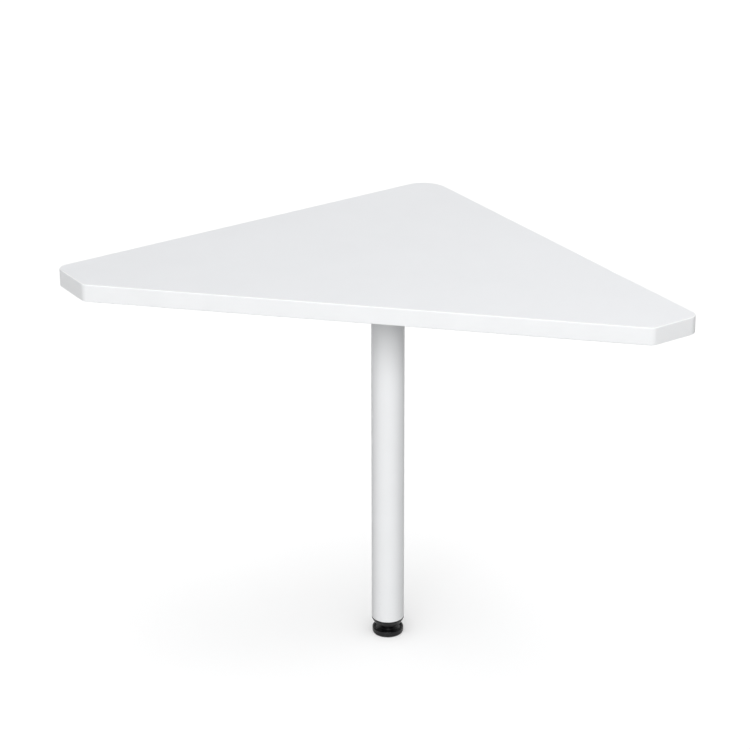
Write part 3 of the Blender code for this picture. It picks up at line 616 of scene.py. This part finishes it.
def rounded_outline(inset):
    """The top's rounded outline, moved inwards by an inset."""
    corners = [(Vector(corner), radius) for corner, radius in outline_corners()]
    points = []
    for index, (corner, radius) in enumerate(corners):
        arriving = (corner - corners[index - 1][0]).normalized()
        leaving = (corners[(index + 1) % len(corners)][0] - corner).normalized()
        heading = math.atan2(arriving.y, arriving.x)
        turn = (math.atan2(leaving.y, leaving.x) - heading) % math.tau
        inwards = Vector((-arriving.y, arriving.x))
        centre = corner - arriving * radius * math.tan(turn / 2.0) + inwards * radius
        for step in range(ARC_STEPS + 1):
            angle = heading - math.pi / 2.0 + turn * step / ARC_STEPS
            points.append(centre + (radius - inset) * Vector((math.cos(angle), math.sin(angle))))
    return points


def glue_strip(finish):
    """The glue between board and band, just below both faces of the top."""
    lowest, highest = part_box("desktop_board")
    bottom = lowest.z + GLUE_CLEARANCE
    top = highest.z - GLUE_CLEARANCE
    outer = rounded_outline(BAND_THICKNESS + GLUE_CLEARANCE)
    inner = rounded_outline(BAND_THICKNESS + PIECE_GAP - GLUE_CLEARANCE)
    shape = bmesh.new()
    loops = []
    for points, height in ((outer, bottom), (outer, top), (inner, top), (inner, bottom)):
        loops.append([shape.verts.new((point.x, point.y, height)) for point in points])
    for first, second in zip(loops, loops[1:] + loops[:1]):
        for index in range(len(first)):
            shape.faces.new((first[index - 1], first[index], second[index], second[index - 1]))
    strip = add_piece("band_glue_line", shape, finish, GLUE_SHARP_ANGLE)
    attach(strip, "table")


def add_floor():
    """A pale floor that shows to the camera; the soft sky lights the table from below too."""
    shape = bmesh.new()
    bmesh.ops.create_grid(shape, x_segments=1, y_segments=1, size=FLOOR_SIZE / 2.0)
    finish = start_finish("studio_floor", (FLOOR_ALBEDO,) * 3, 1.0, specular=0.0)[0]
    floor = add_piece("studio_floor", shape, finish, math.pi)
    floor.visible_diffuse = False
    return floor


def add_sky():
    """An even soft sky, which shows to the camera as a pale backdrop that fades into the floor."""
    world = bpy.data.worlds.new("soft_sky")
    world.use_nodes = True
    tree = world.node_tree
    background = tree.nodes["Background"]
    background.inputs["Color"].default_value = (1.0, 1.0, 1.0, 1.0)
    direction = tree.nodes.new("ShaderNodeTexCoord")
    parts = tree.nodes.new("ShaderNodeSeparateXYZ")
    tree.links.new(direction.outputs["Generated"], parts.inputs["Vector"])
    seen = tree.nodes.new("ShaderNodeLightPath").outputs["Is Camera Ray"]
    strength = tree.nodes.new("ShaderNodeMix")
    strength.inputs["A"].default_value = SKY_STRENGTH
    tree.links.new(seen, strength.inputs["Factor"])
    tree.links.new(spread(tree, parts.outputs["Z"], BACKDROP_STRENGTHS, BACKDROP_RISES), strength.inputs["B"])
    tree.links.new(strength.outputs["Result"], background.inputs["Strength"])
    bpy.context.scene.world = world


def linked_collection(name, items, state):
    """A collection for light linking that takes some objects in or leaves them out."""
    collection = bpy.data.collections.new(name)
    for item in items:
        collection.objects.link(item)
    for entry in collection.collection_objects:
        entry.light_linking.link_state = state
    return collection


def add_lamp(data, rotation, place, lit, shaded_by=None):
    """A lamp that lights some objects only and, where so told, is shaded by some objects only."""
    lamp = bpy.data.objects.new(data.name, data)
    lamp.location = place
    lamp.rotation_mode = "QUATERNION"
    lamp.rotation_quaternion = rotation
    lamp.light_linking.receiver_collection = lit
    lamp.light_linking.blocker_collection = shaded_by
    bpy.context.scene.collection.objects.link(lamp)


def add_suns(lights, lit, shaded_by=None):
    """Distant soft lights; each one's share of white is what a white face turned to it gives back."""
    for name, (share, azimuth, elevation, width) in lights.items():
        data = bpy.data.lights.new(name, "SUN")
        data.energy = share * math.pi
        data.angle = math.radians(width)
        turn = math.radians(azimuth)
        rise = math.radians(elevation)
        level = math.cos(rise)
        source = Vector((math.sin(turn) * level, -math.cos(turn) * level, math.sin(rise)))
        add_lamp(data, source.to_track_quat("Z", "Y"), Vector(), lit, shaded_by)


def add_near_light(lit):
    """A square lamp near the table, which lights its nearer side a little more."""
    data = bpy.data.lights.new("near_front_light", "AREA")
    data.energy = NEAR_LIGHT_WATTS
    data.size = NEAR_LIGHT_SIZE
    rotation = (NEAR_LIGHT_PLACE - NEAR_LIGHT_TARGET).to_track_quat("Z", "Y")
    add_lamp(data, rotation, NEAR_LIGHT_PLACE, lit)


def add_lights(floor):
    """Plain soft studio light, with the floor lit apart so that its shadow stays faint and near the foot."""
    bpy.context.scene.view_settings.view_transform = "Standard"
    table = linked_collection("all_but_floor", [floor], "EXCLUDE")
    ground = linked_collection("only_floor", [floor], "INCLUDE")
    leg = linked_collection("only_leg", [frame["nodes"][name] for name in LEG_NODES], "INCLUDE")
    upright = linked_collection("only_upright", [frame["nodes"][name] for name in UPRIGHT_NODES], "INCLUDE")
    add_suns(TABLE_LIGHTS, table)
    add_suns(REAR_LIGHTS, upright, table)
    add_near_light(table)
    add_suns(FLOOR_LIGHTS, ground)
    add_suns(LEG_SHADE_LIGHTS, ground, leg)
    add_suns(OPEN_FLOOR_LIGHTS, ground, ground)


def add_camera():
    """The camera at the photograph's place, with its slightly off-centre frame."""
    level = math.cos(CAMERA_ELEVATION)
    forward = Vector((
        -math.sin(CAMERA_AZIMUTH) * level,
        math.cos(CAMERA_AZIMUTH) * level,
        -math.sin(CAMERA_ELEVATION),
    ))
    data = bpy.data.cameras.new("photo_camera")
    data.lens = FOCAL_LENGTH_MM
    data.sensor_width = SENSOR_WIDTH_MM
    data.shift_x = -AXIS_RIGHT_PX / PICTURE_WIDTH_PX
    data.shift_y = AXIS_DOWN_PX / PICTURE_WIDTH_PX
    camera = bpy.data.objects.new("photo_camera", data)
    camera.location = CAMERA_TARGET - forward * CAMERA_DISTANCE
    camera.rotation_mode = "QUATERNION"
    camera.rotation_quaternion = forward.to_track_quat("-Z", "Y")
    bpy.context.scene.collection.objects.link(camera)
    bpy.context.scene.camera = camera


def main():
    """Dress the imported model, and set its floor, light and camera."""
    finishes = {
        "coated_board": coated_board(),
        "white_band": white_band(),
        "white_powder_coat": white_powder_coat(),
        "cast_metal": cast_metal(),
        "zinc_plated_steel": zinc_plated_steel(),
        "black_oxide_steel": black_oxide_steel(),
        "black_polyamide": black_polyamide(),
        "black_rubber": black_rubber(),
    }
    finish_nodes(finishes)
    smooth_nodes()
    threaded_stud(finishes["zinc_plated_steel"])
    glue_strip(glue_line())
    add_sky()
    add_lights(add_floor())
    add_camera()


main()
